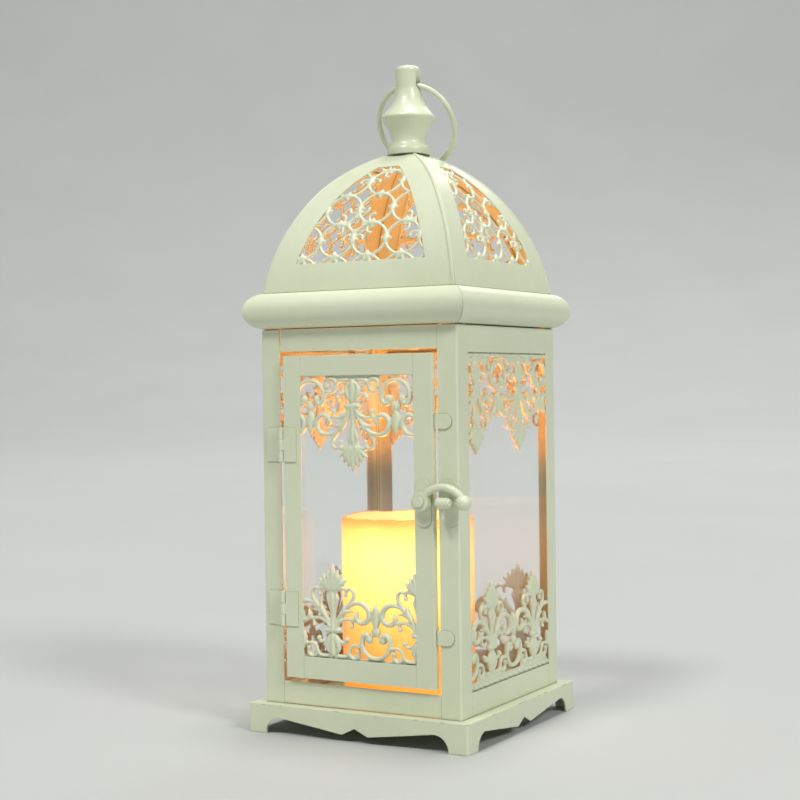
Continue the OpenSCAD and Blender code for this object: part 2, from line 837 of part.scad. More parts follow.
module candle_batteries() color(steel) {
    cell_r = 5.2;
    cell_l = 43;
    middle_y = 5;
    pitch = 10.8;
    for (row = [-1 : 1])
        translate([candle_x - cell_l / 2, middle_y + row * pitch,
                   case_z + case_wall + cell_r + 0.1])
            rotate([0, 90, 0]) {
                cylinder(r = cell_r, h = cell_l);
                cylinder(r = 1.8, h = cell_l + 1.2);
            }
}

// Slider knob, stored at the low end of its slot, with a flange above the case's floor
module candle_switch() color("dimgray") {
    translate([candle_x - switch_travel / 2, switch_y, case_z - 1]) {
        box([-1.8, -1.8, 0], [1.8, 1.8, case_wall + 1.5]);
        box([-3.4, -3, case_wall + 1.15], [3.4, 3, case_wall + 2.3]);
    }
}

base_plinth();
on_side(0) post();  // post_front_right
on_side(1) post();  // post_back_right
on_side(2) post();  // post_back_left
on_side(3) post();  // post_front_left
front_top_rail();
front_bottom_rail();
on_side(1) window_top_rail();  // right_top_rail
on_side(1) window_bottom_rail();  // right_bottom_rail
on_side(2) window_top_rail();  // back_top_rail
on_side(2) window_bottom_rail();  // back_bottom_rail
on_side(3) window_top_rail();  // left_top_rail
on_side(3) window_bottom_rail();  // left_bottom_rail
on_side(1) window_glass();  // right_glass
on_side(2) window_glass();  // back_glass
on_side(3) window_glass();  // left_glass
on_side(1) window_top_filigree(right_top_phase);  // right_top_filigree
on_side(1) window_bottom_filigree(right_low_phase);  // right_bottom_filigree
on_side(2) window_top_filigree(back_top_phase);  // back_top_filigree
on_side(2) window_bottom_filigree(back_low_phase);  // back_bottom_filigree
on_side(3) window_top_filigree(left_top_phase);  // left_top_filigree
on_side(3) window_bottom_filigree(left_low_phase);  // left_bottom_filigree
on_side(0) roof_band();  // roof_band_front
on_side(1) roof_band();  // roof_band_right
on_side(2) roof_band();  // roof_band_back
on_side(3) roof_band();  // roof_band_left
on_side(0) dome_panel();  // dome_panel_front
on_side(1) dome_panel();  // dome_panel_right
on_side(2) dome_panel();  // dome_panel_back
on_side(3) dome_panel();  // dome_panel_left
on_side(0) dome_lattice(front_lattice);  // dome_lattice_front
on_side(1) dome_lattice(right_lattice);  // dome_lattice_right
on_side(2) dome_lattice(back_lattice);  // dome_lattice_back
on_side(3) dome_lattice(left_lattice);  // dome_lattice_left
roof_brackets();
crown_plate();
finial();
finial_stud();
finial_nut();
carry_ring();
hinge_post_leaves();
hinge_pins();
latch_keeper();
door_stile_left();
door_stile_right();
door_top_rail();
door_bottom_rail();
door_glass();
door_top_filigree();
door_bottom_filigree();
door_stop_tabs();
hinge_door_leaves();
latch_plate();
latch_hook();
candle_wax();
candle_led();
candle_case();
candle_battery_door();
candle_batteries();
candle_switch();
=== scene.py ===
"""Looks of the candle lantern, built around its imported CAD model. Metres, +Z up, the door faces -Y."""

import math

import bmesh
import bpy
from mathutils import Matrix, Vector, noise


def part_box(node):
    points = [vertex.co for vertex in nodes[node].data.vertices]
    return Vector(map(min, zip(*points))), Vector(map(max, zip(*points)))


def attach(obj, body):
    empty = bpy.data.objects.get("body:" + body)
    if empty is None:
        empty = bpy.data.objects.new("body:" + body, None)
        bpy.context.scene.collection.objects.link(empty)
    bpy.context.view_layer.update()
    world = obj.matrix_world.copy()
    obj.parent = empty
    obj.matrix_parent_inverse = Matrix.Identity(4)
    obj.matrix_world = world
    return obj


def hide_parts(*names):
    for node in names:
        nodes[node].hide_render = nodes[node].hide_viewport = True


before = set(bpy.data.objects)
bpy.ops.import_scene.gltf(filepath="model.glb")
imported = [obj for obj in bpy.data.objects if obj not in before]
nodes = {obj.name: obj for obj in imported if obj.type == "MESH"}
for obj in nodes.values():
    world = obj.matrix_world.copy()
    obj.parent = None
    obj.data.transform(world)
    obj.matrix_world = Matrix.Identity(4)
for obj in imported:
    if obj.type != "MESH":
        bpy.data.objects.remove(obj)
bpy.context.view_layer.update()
MM = 0.001
SIDES = ("front", "right", "back", "left")


# ---- Camera, lights and floor ----


CAMERA_ANGLES = (29.507, -0.568, -0.767)
CAMERA_PLACE = (0.4406, -0.7924, 0.1909)
CAMERA_LENS = 71.8


def add_camera():
    """Camera at the solved azimuth, pitch and roll, in degrees, beyond the lantern's latch side."""
    azimuth, pitch, roll = (math.radians(a) for a in CAMERA_ANGLES)
    forward = Vector(
        (-math.sin(azimuth) * math.cos(pitch), math.cos(azimuth) * math.cos(pitch), math.sin(pitch))
    )
    level = Vector((math.cos(azimuth), math.sin(azimuth), 0))
    upright = level.cross(forward)
    right = level * math.cos(roll) + upright * math.sin(roll)
    up = upright * math.cos(roll) - level * math.sin(roll)
    data = bpy.data.cameras.new("camera")
    data.sensor_width = 36
    data.lens = CAMERA_LENS
    camera = bpy.data.objects.new("camera", data)
    turn = Matrix((right, up, -forward)).transposed().to_4x4()
    camera.matrix_world = Matrix.Translation(CAMERA_PLACE) @ turn
    bpy.context.scene.collection.objects.link(camera)
    bpy.context.scene.camera = camera


def add_area_light(name, place, target, size, power, colour=(1, 1, 1)):
    """Round lamp of the given size and watts at place, turned to face target."""
    data = bpy.data.lights.new(name, "AREA")
    data.shape = "DISK"
    data.size = size
    data.energy = power
    data.color = colour
    light = bpy.data.objects.new(name, data)
    light.location = place
    aim = Vector(target) - Vector(place)
    light.rotation_euler = aim.to_track_quat("-Z", "Y").to_euler()
    bpy.context.scene.collection.objects.link(light)
    return light


def add_studio():
    """Soft daylight lamps round the lantern, two of them for the backdrop, and a faint sky."""
    middle = (0, 0, 0.18)
    add_area_light("key_light", (-0.5, -3.7, 5.8), middle, 1.5, 205, (1, 1, 0.97))
    add_area_light("fill_light", (4.9, -1.7, 4.2), middle, 1.7, 185, (0.98, 1, 0.97))
    add_area_light("top_light", (0.2, 0.6, 6.2), middle, 2.0, 160, (1, 1, 0.98))
    add_area_light("back_light", (-0.8, 5.0, 4.2), (0, 1.5, 0), 3.0, 60)
    add_area_light("wall_light", (-1.5, 3.0, 5.5), (-4.5, 8.5, 1.5), 3.0, 190)
    world = bpy.data.worlds.new("studio")
    world.use_nodes = True
    sky = world.node_tree.nodes["Background"]
    sky.inputs["Color"].default_value = (0.86, 0.88, 0.88, 1)
    sky.inputs["Strength"].default_value = 0.18
    bpy.context.scene.world = world
    bpy.context.scene.view_settings.view_transform = "Standard"


# ---- Materials ----


def srgb(red, green, blue):
    """Linear colour from 8-bit sRGB numbers."""
    shares = [c / 255 for c in (red, green, blue)]
    linear = [c / 12.92 if c <= 0.04 else ((c + 0.055) / 1.055) ** 2.4 for c in shares]
    return (*linear, 1)


class Shader:
    """A new material's node tree, with short ways to add and join its nodes."""

    def __init__(self, name):
        self.material = bpy.data.materials.new(name)
        self.material.use_nodes = True
        self.tree = self.material.node_tree
        self.surface = self.tree.nodes["Principled BSDF"]
        self.coords = self.add("TexCoord").outputs["Object"]

    def add(self, kind, settings=None, **inputs):
        made = self.tree.nodes.new("ShaderNode" + kind)
        for key, value in (settings or {}).items():
            setattr(made, key, value)
        for key, value in inputs.items():
            self.feed(made, key.replace("_", " "), value)
        return made

    def feed(self, target, name, value):
        socket = target.inputs[name] if not name.isdigit() else target.inputs[int(name)]
        if isinstance(value, bpy.types.NodeSocket):
            self.tree.links.new(value, socket)
        else:
            socket.default_value = value

    def set(self, **inputs):
        for key, value in inputs.items():
            self.feed(self.surface, key.replace("_", " "), value)

    def noise(self, scale, detail=3, rough=0.5, vector=None):
        made = self.add("TexNoise", Vector=vector or self.coords, Scale=scale, Detail=detail, Roughness=rough)
        return made.outputs["Fac"]

    def spread(self, value, low, high, to_low=0.0, to_high=1.0):
        made = self.add("MapRange", Value=value)
        made.inputs["From Min"].default_value = low
        made.inputs["From Max"].default_value = high
        made.inputs["To Min"].default_value = to_low
        made.inputs["To Max"].default_value = to_high
        return made.outputs["Result"]

    def math(self, operation, a, b=0.0):
        made = self.tree.nodes.new("ShaderNodeMath")
        made.operation = operation
        self.feed(made, "0", a)
        self.feed(made, "1", b)
        return made.outputs["Value"]

    def mix(self, fac, a, b):
        made = self.add("Mix", {"data_type": "RGBA"})
        self.feed(made, "0", fac)
        for index, value in ((6, a), (7, b)):
            self.feed(made, str(index), value)
        return made.outputs[2]

    def bump(self, height, strength, distance, normal=None):
        made = self.add("Bump", Height=height, Strength=strength, Distance=distance)
        if normal is not None:
            self.feed(made, "Normal", normal)
        return made.outputs["Normal"]


def make_paint(name, light, shade, grain=1.0, wear=0.3, crease_shade=0.5, gloss=0.0):
    """Satin cream enamel: soft tone changes, orange peel, painted shade in the creases and chips at sharp
    edges.
    """
    s = Shader(name)
    broad = s.spread(s.noise(11, 4, 0.6), 0.3, 0.7)
    tone = s.mix(broad, light, shade)
    mottle = s.spread(s.noise(190, 3), 0.35, 0.75, 0, 0.16)
    tone = s.mix(mottle, tone, srgb(236, 236, 214))
    # Painted shade: a dark grime colour mixed in where ambient occlusion finds surfaces close by, so creases,
    # seams and gaps come out darker
    occlusion = s.add("AmbientOcclusion", {"samples": 5, "only_local": False}, Distance=2.2 * MM)
    painted_shade = s.spread(occlusion.outputs["AO"], 0.7, 0.2, 0, crease_shade)
    tone = s.mix(painted_shade, tone, srgb(58, 54, 40))
    # Chips along sharp edges
    rounded = s.add("Bevel", {"samples": 4}, Radius=0.7 * MM)
    facing = s.add("NewGeometry").outputs["Normal"]
    dot = s.add("VectorMath", {"operation": "DOT_PRODUCT"})
    s.feed(dot, "0", rounded.outputs["Normal"])
    s.feed(dot, "1", facing)
    edge = s.spread(dot.outputs["Value"], 0.985, 0.9)
    chips = s.spread(s.noise(120, 4, 0.65), 0.72 - 0.16 * wear, 0.74 - 0.16 * wear)
    chipped = s.math("MULTIPLY", edge, chips)
    tone = s.mix(chipped, tone, srgb(58, 50, 40))
    rough = s.spread(s.noise(60, 3), 0.3, 0.7, 0.34 - gloss, 0.46 - gloss)
    peel = s.bump(s.noise(620, 2), 0.10 * grain, 0.12 * MM)
    wave = s.bump(s.noise(75, 2), 0.22 * grain, 0.35 * MM, peel)
    s.set(Base_Color=tone, Roughness=rough, Normal=wave)
    s.set(Coat_Weight=0.12 + 2 * gloss, Coat_Roughness=0.25)
    return s.material


def make_glass():
    """Clear float glass with a breath of dust. Lamps shine through it."""
    s = Shader("clear_glass")
    smear = s.spread(s.noise(28, 4, 0.6), 0.4, 0.8, 0.0, 0.05)
    s.set(Base_Color=(0.975, 0.985, 0.98, 1), Roughness=smear, IOR=1.45)
    s.set(Transmission_Weight=1.0)
    clear = s.add("BsdfTransparent")
    path = s.add("LightPath").outputs["Is Shadow Ray"]
    mixed = s.add("MixShader")
    s.feed(mixed, "0", path)
    s.feed(mixed, "1", s.surface.outputs["BSDF"])
    s.feed(mixed, "2", clear.outputs["BSDF"])
    s.feed(s.tree.nodes["Material Output"], "Surface", mixed.outputs["Shader"])
    return s.material


def make_wax(centre, base_z, height):
    """Warm wax whose glow from a lamp within, towards the door, is painted on as emission: brightest high on
    that side, orange low down.
    """
    s = Shader("candle_wax")
    place = s.add("Mapping", Vector=s.coords)
    place.inputs["Location"].default_value = (-centre[0], -centre[1], -base_z)
    axes = s.add("SeparateXYZ", Vector=place.outputs["Vector"])
    up = s.spread(axes.outputs["Z"], 0, height)
    glow_up = s.add("ValToRGB", Fac=up)
    ramp = glow_up.color_ramp
    ramp.elements[0].position, ramp.elements[0].color = 0.0, (0.24, 0.24, 0.24, 1)
    ramp.elements[1].position, ramp.elements[1].color = 1.0, (0.25, 0.25, 0.25, 1)
    for position, value in ((0.22, 0.28), (0.4, 0.42), (0.6, 0.85), (0.8, 1.0), (0.93, 0.7), (0.985, 0.34)):
        ramp.elements.new(position).color = (value, value, value, 1)
    # Painted light: the glow is made stronger on the side towards the door
    toward_door = s.add("VectorMath", {"operation": "DOT_PRODUCT"})
    s.feed(toward_door, "0", place.outputs["Vector"])
    s.feed(toward_door, "1", (0.25, -0.97, 0))
    painted_side_glow = s.spread(toward_door.outputs["Value"], -0.006, 0.037, 0.36, 1.0)
    cloudy = s.spread(s.noise(36, 3), 0.3, 0.7, 0.88, 1.1)
    power = s.math("MULTIPLY", glow_up.outputs["Color"], painted_side_glow)
    power = s.math("MULTIPLY", power, cloudy)
    warmth = s.mix(s.spread(power, 0.2, 0.8), (1.0, 0.3, 0.034, 1), (1.0, 0.37, 0.09, 1))
    s.set(Base_Color=srgb(206, 140, 66), Roughness=0.42, Subsurface_Weight=0.35)
    s.surface.inputs["Subsurface Radius"].default_value = (1.0, 0.45, 0.15)
    s.surface.inputs["Subsurface Scale"].default_value = 0.006
    # Painted glow: emission stands in for the lamp's light coming through the wax
    s.set(Emission_Color=warmth, Emission_Strength=s.math("MULTIPLY", power, 3.9))
    s.set(Normal=s.bump(s.noise(85, 3), 0.25, 0.4 * MM))
    return s.material


def make_wax_pool():
    """The candle's dish, with painted light: its emission stands in for the wash of light from the lamp below
    it.
    """
    s = Shader("candle_dish_wax")
    glow = s.spread(s.noise(45, 2), 0.3, 0.7, 0.55, 0.85)
    s.set(Base_Color=srgb(250, 226, 160), Roughness=0.3)
    # Painted glow: emission in place of light from the lamp below
    s.set(Emission_Color=(1.0, 0.52, 0.16, 1), Emission_Strength=glow)
    s.set(Normal=s.bump(s.noise(60, 2), 0.3, 0.5 * MM))
    return s.material


def make_plastic(name, colour, rough=0.4):
    s = Shader(name)
    tone = s.mix(s.spread(s.noise(90, 3), 0.3, 0.7), colour, tuple(0.86 * c for c in colour[:3]) + (1,))
    s.set(Base_Color=tone, Roughness=s.spread(s.noise(200, 2), 0.3, 0.7, rough - 0.06, rough + 0.08))
    s.set(Normal=s.bump(s.noise(900, 2), 0.12, 0.08 * MM))
    return s.material


def make_zinc():
    s = Shader("zinc_steel")
    tone = s.mix(s.spread(s.noise(260, 4, 0.65), 0.35, 0.65), srgb(176, 178, 176), srgb(132, 134, 136))
    s.set(Base_Color=tone, Metallic=1.0, Roughness=s.spread(s.noise(420, 3), 0.3, 0.7, 0.28, 0.45))
    s.set(Normal=s.bump(s.noise(800, 2), 0.1, 0.06 * MM))
    return s.material


def make_led():
    s = Shader("led_lens")
    s.set(Base_Color=srgb(255, 236, 200), Roughness=0.15)
    s.set(Emission_Color=(1, 0.7, 0.35, 1), Emission_Strength=s.spread(s.noise(300, 2), 0.3, 0.7, 9, 14))
    return s.material


def make_floor():
    s = Shader("floor_paper")
    tone = s.mix(s.noise(3, 3), (0.47, 0.48, 0.47, 1), (0.51, 0.52, 0.51, 1))
    s.set(Base_Color=tone, Roughness=0.8)
    return s.material


def make_backdrop():
    """Round sheet of pale paper: a flat floor that sweeps up into a seamless wall."""
    flat, sweep, wall = 4.5, 5.0, 6.0
    profile = [(flat * i / 8, 0) for i in range(1, 9)]
    turns = [math.radians(7.5 * i) for i in range(1, 13)]
    profile += [(flat + sweep * math.sin(a), sweep * (1 - math.cos(a))) for a in turns]
    profile.append((flat + sweep, wall))
    around = 96
    bm = bmesh.new()
    middle = bm.verts.new((0, 0, 0))
    directions = [2 * math.pi * i / around for i in range(around)]
    rings = [[bm.verts.new((r * math.cos(a), r * math.sin(a), z)) for a in directions] for r, z in profile]
    for i in range(around):
        j = (i + 1) % around
        bm.faces.new((middle, rings[0][i], rings[0][j]))
        for low, high in zip(rings, rings[1:]):
            bm.faces.new((low[i], high[i], high[j], low[j]))
    return new_object("floor", bm, make_floor())


# ---- Mesh helpers ----


def new_object(name, bm, material, smooth=True):
    """Object with the bmesh as its mesh, linked to the scene. The bmesh is used up."""
    mesh = bpy.data.meshes.new(name)
    bm.to_mesh(mesh)
    bm.free()
    for face in mesh.polygons:
        face.use_smooth = smooth
    mesh.materials.append(material)
    obj = bpy.data.objects.new(name, mesh)
    bpy.context.scene.collection.objects.link(obj)
    return obj


def apply_modifiers(obj):
    """Puts what the modifiers make into the object's own mesh, and removes them."""
    bpy.context.view_layer.update()
    graph = bpy.context.evaluated_depsgraph_get()
    made = bpy.data.meshes.new_from_object(obj.evaluated_get(graph))
    obj.modifiers.clear()
    old = obj.data
    obj.data = made
    made.name = old.name
    bpy.data.meshes.remove(old)


def curve_through(points, step):
    """Smooth path (Catmull-Rom) through 2D points, sampled about every step."""
    ends = [2 * points[0] - points[1]] + points + [2 * points[-1] - points[-2]]
    path = []
    for a, b, c, d in zip(ends, ends[1:], ends[2:], ends[3:]):
        count = max(2, round((c - b).length / step))
        for i in range(count):
            t = i / count
            square = 2 * a - 5 * b + 4 * c - d
            cube = 3 * b - a - 3 * c + d
            path.append(0.5 * (2 * b + (c - a) * t + square * t * t + cube * t**3))
    return path + [points[-1]]


BOLD = 1.2


class Casting:
    """Rounded strands, petals and balls drawn flat in (u, v, depth), in mm, to be bent to shape and fused.

    Every width is thickened by BOLD, and the back of the casting is half as deep as its front.
    """

    def __init__(self, depth=1.75):
        self.bm = bmesh.new()
        self.depth = depth

    def relief(self, width):
        return self.depth * min(1.15, width / 1.4 + 0.1)

    @staticmethod
    def flatten(depth):
        return depth if depth > 0 else 0.5 * depth

    def ring(self, centre, across, width, depth):
        sides = 10
        made = []
        for i in range(sides):
            a = 2 * math.pi * i / sides
            flat = centre + across * (width * math.cos(a))
            made.append(self.bm.verts.new((flat.x, flat.y, self.flatten(depth * math.sin(a)))))
        return made

    def strand(self, points, widths, mirror=True, ends=True):
        """A strand through the points. widths is one half-width, or several spread evenly along it."""
        points = [Vector(p) for p in points]
        widths = [widths, widths] if isinstance(widths, (int, float)) else widths
        widths = [BOLD * w for w in widths]
        for sign in (1, -1) if mirror else (1,):
            path = curve_through([Vector((sign * p.x, p.y)) for p in points], 0.9)
            last = len(path) - 1
            rings = []
            for i, here in enumerate(path):
                along = path[min(i + 1, last)] - path[max(i - 1, 0)]
                across = Vector((-along.y, along.x)).normalized()
                t = i / last * (len(widths) - 1)
                k = min(int(t), len(widths) - 2)
                width = widths[k] + (widths[k + 1] - widths[k]) * (t - k)
                rings.append(self.ring(here, across, width, self.relief(width)))
            for a, b in zip(rings, rings[1:]):
                for i in range(len(a)):
                    j = (i + 1) % len(a)
                    self.bm.faces.new((a[i], a[j], b[j], b[i]))
            self.bm.faces.new(rings[0])
            self.bm.faces.new(rings[-1])
            if ends:
                self.ball(path[0], widths[0] / BOLD, mirror=False)
                self.ball(path[-1], widths[-1] / BOLD, mirror=False)

    def ball(self, centre, radius, mirror=True):
        """Flattened ball, built ring by ring from one pole to the other."""
        radius *= BOLD
        tall = self.relief(radius)
        belts, sides = 5, 10
        for sign in (1, -1) if mirror else (1,):
            x, y = sign * centre[0], centre[1]
            poles = [self.bm.verts.new((x, y, self.flatten(end * tall))) for end in (-1, 1)]
            rings = []
            for i in range(1, belts + 1):
                a = math.pi * (i / (belts + 1) - 0.5)
                r, z = radius * math.cos(a), self.flatten(tall * math.sin(a))
                ring = []
                for j in range(sides):
                    t = 2 * math.pi * j / sides
                    ring.append(self.bm.verts.new((x + r * math.cos(t), y + r * math.sin(t), z)))
                rings.append(ring)
            for j in range(sides):
                k = (j + 1) % sides
                self.bm.faces.new((poles[0], rings[0][k], rings[0][j]))
                self.bm.faces.new((poles[1], rings[-1][j], rings[-1][k]))
                for low, high in zip(rings, rings[1:]):
                    self.bm.faces.new((low[j], low[k], high[k], high[j]))

    def plate(self, low, high, front, back):
        """Flat slab between two corners and two depths."""
        corners = [self.bm.verts.new((x, y, z)) for z in (back, front) for x, y in
                   ((low[0], low[1]), (high[0], low[1]), (high[0], high[1]), (low[0], high[1]))]
        for face in ((3, 2, 1, 0), (4, 5, 6, 7), (0, 1, 5, 4), (1, 2, 6, 5), (2, 3, 7, 6), (3, 0, 4, 7)):
            self.bm.faces.new([corners[i] for i in face])


CAST_VOXEL = 0.36


def fuse(name, bm, material):
    """Melts overlapping shells into one smooth skin, and halves its triangles."""
    bmesh.ops.recalc_face_normals(bm, faces=bm.faces)
    obj = new_object(name, bm, material)
    melt = obj.modifiers.new("melt", "REMESH")
    melt.mode = "VOXEL"
    melt.voxel_size = CAST_VOXEL * MM
    relax = obj.modifiers.new("relax", "SMOOTH")
    relax.factor = 0.5
    relax.iterations = 4
    thin = obj.modifiers.new("thin", "DECIMATE")
    thin.ratio = 0.5
    apply_modifiers(obj)
    for face in obj.data.polygons:
        face.use_smooth = True
    return obj


def turn_to_side(obj, side):
    """Moves a piece made on the front side round to another side."""
    obj.data.transform(Matrix.Rotation(math.pi / 2 * SIDES.index(side), 4, "Z"))


def finish_piece(obj, body, slot, *stands_for):
    """Puts the piece on its body, in place of the CAD nodes it stands for. The slot argument is not used."""
    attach(obj, body)
    if stands_for:
        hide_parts(*stands_for)
    return obj


# ---- Cast openwork of the windows ----

REPEAT = 53.3
HALF = REPEAT / 2
HEART_REACH = 10
LINK_HALF = 8.5
BEAD_REPEAT = 11.6
BEAD_LINE = 1.55
BEAD_HALF = 2.1
REEL_HALF = 0.5


def draw_motif(c):
    """One repeat, hanging from v = 0 with its palmette at u = 0, and half a heart at each end."""
    # Crown leaf, collar, fluted stem and calyx
    c.strand([(0, 13.6), (0, 8), (0, 2.6)], [1.1, 2.0, 1.1], mirror=False)
    c.strand([(0.9, 13.4), (2.6, 10.2), (3.7, 7.4), (3.0, 4.8), (1.6, 3.4)], [0.8, 1.2, 1.3, 1.0, 0.6])
    c.strand([(-3.3, 15.9), (3.3, 15.9)], 1.35, mirror=False)
    c.ball((3.5, 15.9), 1.45)
    c.strand([(0, 17), (0, 24), (0, 30), (0, 35)], [1.3, 0.75, 0.9, 1.3, 1.2], mirror=False)
    c.strand([(2.6, 17.6), (1.35, 21.5), (1.25, 25.5), (2.1, 30.5), (2.75, 33.6), (1.7, 36)],
             [0.9, 0.6, 0.6, 0.8, 1.1, 0.7])
    c.strand([(-2.2, 36.6), (2.2, 36.6)], 0.85, mirror=False)
    c.strand([(1.2, 17.4), (2.8, 18.6), (3.9, 20.4)], [1.0, 1.0, 0.6])
    # Palmette
    for tip, bend, width in (((0, 50.8), (0, 43.2), 1.8), ((3.0, 48.0), (2.2, 42.6), 1.45),
                             ((5.6, 45.8), (4.0, 41.6), 1.45), ((8.3, 43.2), (5.4, 40.6), 1.2)):
        mirrored = tip[0] > 0
        c.strand([(0.35 * bend[0], 37.2), bend, tip], [0.8, width, width, 0.6], mirror=mirrored)
    c.strand([(1.5, 38.2), (4.0, 39.6), (5.4, 41.2)], [1.2, 1.2, 0.7])
    # Curls beside the crown, and the small scrolls under the rail
    c.strand([(1.8, 12.8), (3.9, 10.4), (6.3, 9.3), (8.3, 9.6)], [0.9, 0.75, 0.8])
    c.ball((8.9, 11.2), 1.35)
    c.strand([(3.2, 1.8), (7.6, 2.0), (9.9, 3.9), (10.9, 6.9), (13.4, 8.3), (17.0, 7.9)],
             [0.7, 0.8, 0.85, 0.8])
    c.strand([(9.9, 4.4), (11.2, 1.9), (13.6, 1.1), (15.6, 2.4), (15.9, 4.6)], [0.8, 0.85, 0.85, 0.9])
    c.ball((15.6, 5.4), 1.15)
    # Upper branch with its bud
    c.strand([(2.2, 18.4), (4.6, 20.8), (8.6, 22.2), (12.4, 21.8), (14.8, 21.6)], [1.0, 0.95, 0.85, 0.8])
    c.strand([(12.8, 21.7), (12.0, 20.2), (11.9, 18.9)], [0.8, 0.8])
    c.ball((11.8, 18.5), 1.15)
    # Three-pointed leaf
    c.strand([(2.3, 20.2), (4.6, 23.6), (6.9, 27.0), (7.4, 31.2)], [0.8, 1.0, 1.5, 1.2, 0.3])
    c.strand([(5.2, 24.6), (8.4, 26.4), (13.2, 26.5)], [0.9, 1.2, 0.8, 0.3])
    # Large scroll
    c.strand([(6.2, 26.4), (9.0, 28.4), (12.0, 30.3), (16.0, 31.2), (20.0, 30.1), (22.4, 26.9), (22.3, 23.2),
              (19.7, 20.9), (16.7, 20.9), (14.8, 22.7)], [0.9, 0.95, 1.05, 1.25, 1.4, 1.3, 1.1])
    c.strand([(14.8, 22.6), (14.5, 24.2), (15.5, 26.2)], [1.2, 1.3, 0.5])
    # Hook-shaped scroll beside the palmette
    c.strand([(8.8, 28.4), (11.0, 31.2), (13.0, 34.0), (13.0, 36.8), (11.0, 38.5), (8.7, 37.7), (8.2, 35.6)],
             [0.9, 0.9, 0.9, 0.9, 0.85, 0.8])
    c.ball((8.1, 35.0), 1.0)
    c.strand([(8.9, 38.0), (6.4, 38.6), (3.4, 37.8)], [0.8, 0.95, 0.9])


def draw_heart(c, at):
    """Open heart, ball and spindle halfway between two palmettes."""

    def placed(points):
        return [(at + x, y) for x, y in points]

    lobe = [(0, 2.0), (3.8, 2.8), (6.9, 5.2), (8.4, 8.7), (8.4, 12.0), (6.9, 14.6), (4.7, 14.2)]
    for s in (1, -1):
        side = [(s * x, y) for x, y in lobe]
        c.strand(placed(side), [1.0, 1.05, 1.15, 1.2, 1.2, 1.4], mirror=False)
        c.ball((at + s * 4.1, 12.2), 2.1, mirror=False)
    c.ball((at, 16.3), 2.45, mirror=False)
    c.strand(placed([(-1.2, 14.4), (1.2, 14.4)]), 0.8, mirror=False)
    c.strand(placed([(0, 18.2), (0, 24.5), (0, 30.6)]), [0.9, 2.3, 2.5, 1.7, 0.7], mirror=False)


def clip_flat(bm, low, high):
    """Cuts a flat casting off outside u = low..high, leaving clean closed ends."""
    for limit, sign in ((low, -1), (high, 1)):
        cut = bmesh.ops.bisect_plane(bm, geom=bm.verts[:] + bm.edges[:] + bm.faces[:], dist=1e-5,
                                     plane_co=(limit, 0, 0), plane_no=(sign, 0, 0), clear_outer=True)
        edges = [e for e in cut["geom_cut"] if isinstance(e, bmesh.types.BMEdge)]
        bmesh.ops.holes_fill(bm, edges=edges, sides=0)


def make_openwork(name, side, top, low, high, edge, phase, drop, border, plane, body, material):
    """Strip of casting from the opening's edge, its middle layer at the distance plane from the axis."""
    c = Casting()
    for k in range(-2, 3):
        middle = phase + k * REPEAT
        if low - HALF < middle < high + HALF:
            part = Casting()
            draw_motif(part)
            bmesh.ops.translate(part.bm, vec=(middle, 0, 0), verts=part.bm.verts)
            add_mesh(c.bm, part.bm)
        heart = middle + HALF
        if low - HEART_REACH < heart < high + HEART_REACH:
            draw_heart(c, heart)
        for s in (-1, 1):
            link = middle + s * LINK_HALF
            c.plate((link - LINK_HALF, 0.3), (link + LINK_HALF, 3.0), 0.35, -0.5)
    clip_flat(c.bm, low, high)
    bmesh.ops.translate(c.bm, vec=(0, drop, 0), verts=c.bm.verts)
    c.plate((low, -3), (high, max(border, 0.6)), 0.4, -0.55)
    if border:
        count = round((high - low) / BEAD_REPEAT)
        period = (high - low) / count
        for i in range(count):
            x = low + (i + 0.5) * period
            bead = [(x + across, BEAD_LINE) for across in (-BEAD_HALF, 0, BEAD_HALF)]
            c.strand(bead, [0.8, 1.25, 0.8], mirror=False)
            reel = x + period / 2
            c.strand([(reel - REEL_HALF, BEAD_LINE), (reel + REEL_HALF, BEAD_LINE)], 1.05, mirror=False)
    bm = c.bm
    up = -1 if top else 1
    for v in bm.verts:
        u, d, h = v.co
        v.co = Vector((u, -(plane + h), edge + up * d)) * MM
    obj = fuse(name, bm, material)
    turn_to_side(obj, side)
    return finish_piece(obj, body, "cream_paint", name.replace("cast_", ""))


def add_mesh(bm, other):
    """Adds a copy of the other bmesh, which is used up."""
    mesh = bpy.data.meshes.new("part")
    other.to_mesh(mesh)
    other.free()
    bm.from_mesh(mesh)
    bpy.data.meshes.remove(mesh)


def make_all_openwork(material):
    """Every strip. The openings' edges come from the rails, and the pattern starts elsewhere on each side."""
    door = {
        "low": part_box("door_stile_left")[1].x / MM - 0.3,
        "high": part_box("door_stile_right")[0].x / MM + 0.3,
        "plane": 62.2,
        "body": "door",
    }
    window = {"low": -49.2, "high": 49.2, "plane": 59.3, "body": "root"}
    top_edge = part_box("door_top_rail")[0].z / MM
    low_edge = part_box("door_bottom_rail")[1].z / MM
    make_openwork("cast_door_top_filigree", "front", True, edge=top_edge, phase=-1.6, drop=0.6,
                  border=0, material=material, **door)
    make_openwork("cast_door_bottom_filigree", "front", False, edge=low_edge, phase=-15.7, drop=-0.6,
                  border=0, material=material, **door)
    phases = {"right": (14.6, -22.8), "back": (-6, 18), "left": (4, -12)}
    for side, (high_phase, low_phase) in phases.items():
        high_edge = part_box(side + "_top_rail")[0].z / MM
        make_openwork(f"cast_{side}_top_filigree", side, True, edge=high_edge, phase=high_phase, drop=2.9,
                      border=3.2, material=material, **window)
        low_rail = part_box(side + "_bottom_rail")[1].z / MM
        make_openwork(f"cast_{side}_bottom_filigree", side, False, edge=low_rail, phase=low_phase,
                      drop=4.4, border=4.2, material=material, **window)


# ---- Domed roof ----

